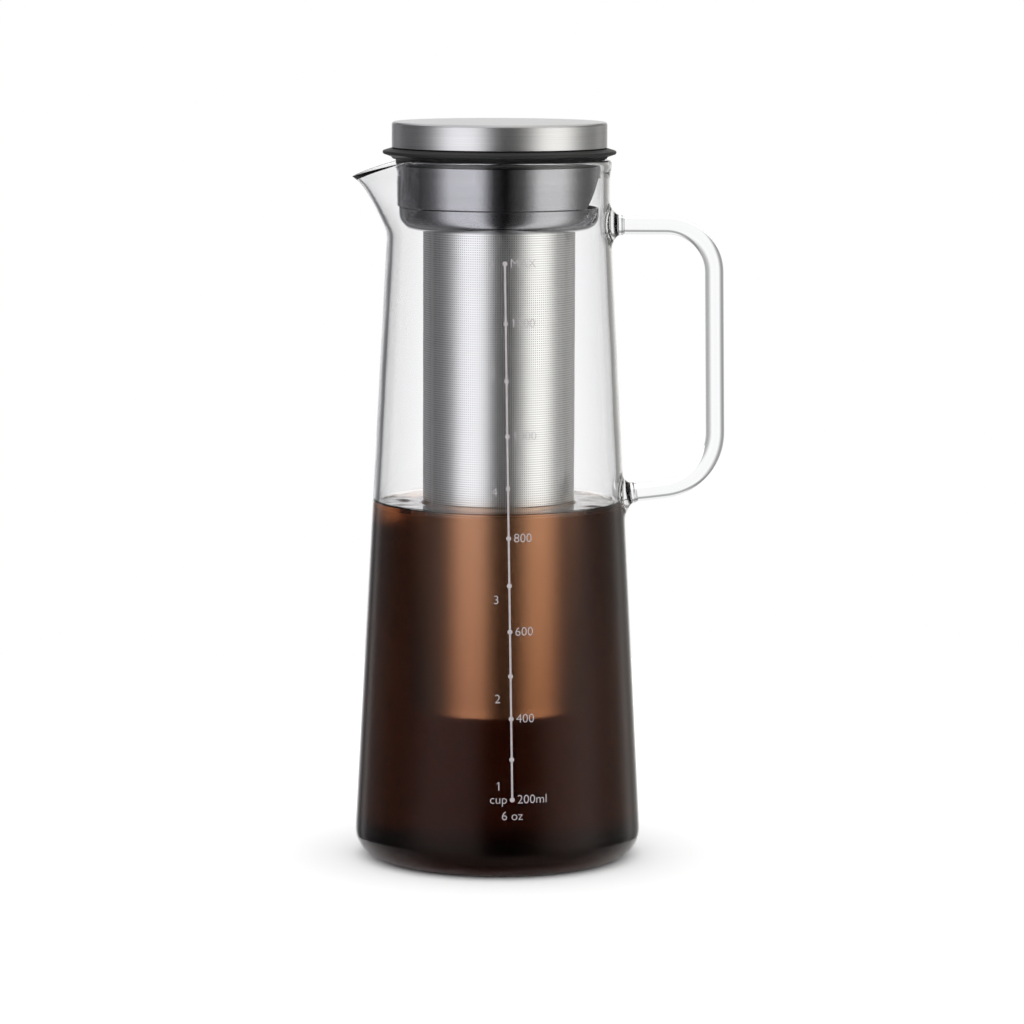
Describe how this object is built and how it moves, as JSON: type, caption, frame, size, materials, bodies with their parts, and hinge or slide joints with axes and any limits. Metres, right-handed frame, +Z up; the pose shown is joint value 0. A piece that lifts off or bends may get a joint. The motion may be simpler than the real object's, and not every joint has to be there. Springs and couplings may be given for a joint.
{
  "type": "cold brew coffee maker",
  "caption": "Conical glass jug with a fused glass handle and pulled spout, a flat steel lid with a silicone lip and turning pour collar, and a long steel mesh filter hanging inside.",
  "frame": {"origin": "centre of the flat foot, on the surface that the jug stands on", "axes": "+Z up along the jug's axis, -X towards the spout, +X towards the handle"},
  "size_m": [0.1335, 0.103, 0.2647],
  "materials": {
    "glass": "clear, fire polished",
    "silicone": "satin black",
    "steel_brushed": "brushed round the axis",
    "steel_polished": "polished",
    "steel_mesh": "finely etched with square holes",
    "plastic": "moulded black",
    "scale_print": "pale print fired on the glass",
    "coffee": "clear dark liquid"
  },
  "bodies": {
    "jug": {"carafe": "glass", "handle": "glass"},
    "gasket": {"lid_gasket": "silicone"},
    "lid": {"lid_cap": "steel_brushed", "lid_core": "plastic", "pour_collar": "steel_polished", "collar_screw_1": "steel_brushed", "collar_screw_2": "steel_brushed", "collar_screw_3": "steel_brushed", "filter_grip_ring": "silicone"},
    "filter": {"strainer_dish": "steel_polished", "filter_sleeve": "steel_mesh", "filter_top_ring": "steel_brushed", "filter_base": "steel_mesh"}
  },
  "joints": [
    {"name": "lid_lift", "type": "slide", "parent": "jug", "child": "gasket", "axis": [0, 0, 1], "range_m": [0, 0.21]},
    {"name": "lid_turn", "type": "hinge", "parent": "gasket", "child": "lid", "pos_m": [0, 0, 0.25], "axis": [0, 0, 1], "continuous": true},
    {"name": "filter_pull", "type": "slide", "parent": "lid", "child": "filter", "axis": [0, 0, -1], "range_m": [0, 0.025]}
  ]
}
